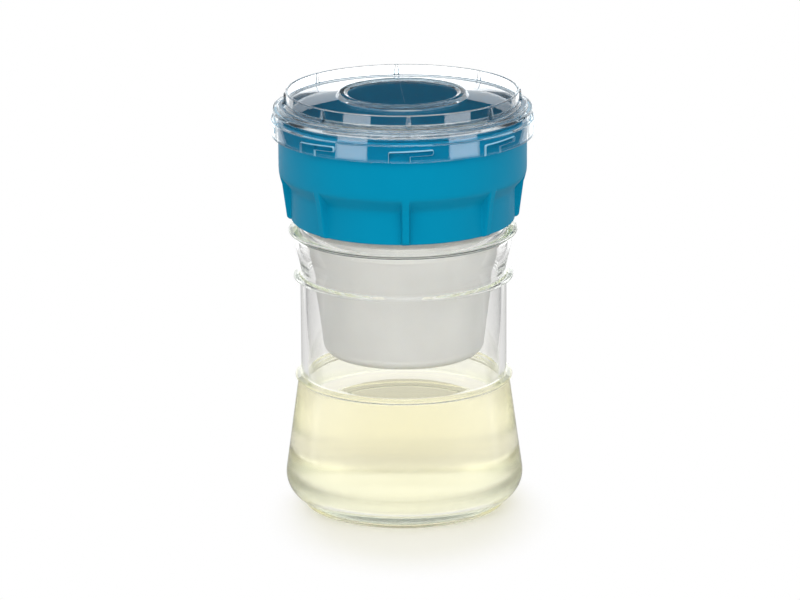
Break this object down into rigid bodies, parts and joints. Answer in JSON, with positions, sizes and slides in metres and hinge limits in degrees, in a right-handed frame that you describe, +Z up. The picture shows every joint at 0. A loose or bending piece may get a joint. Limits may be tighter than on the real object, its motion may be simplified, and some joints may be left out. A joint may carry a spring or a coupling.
{
  "type": "cheese making jar",
  "caption": "Waisted glass jar with a screw-on ribbed holder, a hanging fine-mesh strainer and a clear bayonet lid, for draining curd over its whey.",
  "frame": {"origin": "centre of the foot ring, on the surface that the jar stands on", "axes": "+Z up the jar's axis, -Y towards the front, +X to the right"},
  "size_m": [0.114, 0.114, 0.185],
  "materials": {
    "clear_glass": "clear pressed glass",
    "silicone": "matt translucent silicone",
    "blue_silicone": "matt blue silicone",
    "blue_plastic": "satin moulded plastic",
    "white_plastic": "satin moulded plastic",
    "white_mesh": "fine woven mesh",
    "clear_plastic": "clear moulded plastic"
  },
  "bodies": {
    "jar": {"glass_jar": "clear_glass"},
    "jar_seal": {"jar_seal": "silicone"},
    "holder": {"holder": "blue_plastic"},
    "strainer": {"strainer_frame": "white_plastic", "strainer_mesh": "white_mesh", "strainer_floor_mesh": "white_mesh"},
    "lid_seal": {"lid_seal": "blue_silicone"},
    "lid": {"lid": "clear_plastic"}
  },
  "joints": [
    {"name": "holder_rise", "type": "slide", "parent": "jar", "child": "jar_seal", "axis": [0, 0, 1], "range_m": [0, 0.00201]},
    {"name": "holder_turn", "type": "hinge", "parent": "jar_seal", "child": "holder", "pos_m": [0, 0, 0.137], "axis": [0, 0, 1], "range_deg": [0, 60]},
    {"name": "strainer_lift", "type": "slide", "parent": "holder", "child": "strainer", "axis": [0, 0, 1], "range_m": [0, 0.11]},
    {"name": "lid_lift", "type": "slide", "parent": "strainer", "child": "lid_seal", "axis": [0, 0, 1], "range_m": [0, 0.04]},
    {"name": "lid_twist", "type": "hinge", "parent": "lid_seal", "child": "lid", "pos_m": [0, 0, 0.17], "axis": [0, 0, 1], "range_deg": [-10, 0]}
  ],
  "couplings": [
    {"joint": "holder_rise", "follows": "holder_turn", "m_per_rad": 0.0019099}
  ]
}
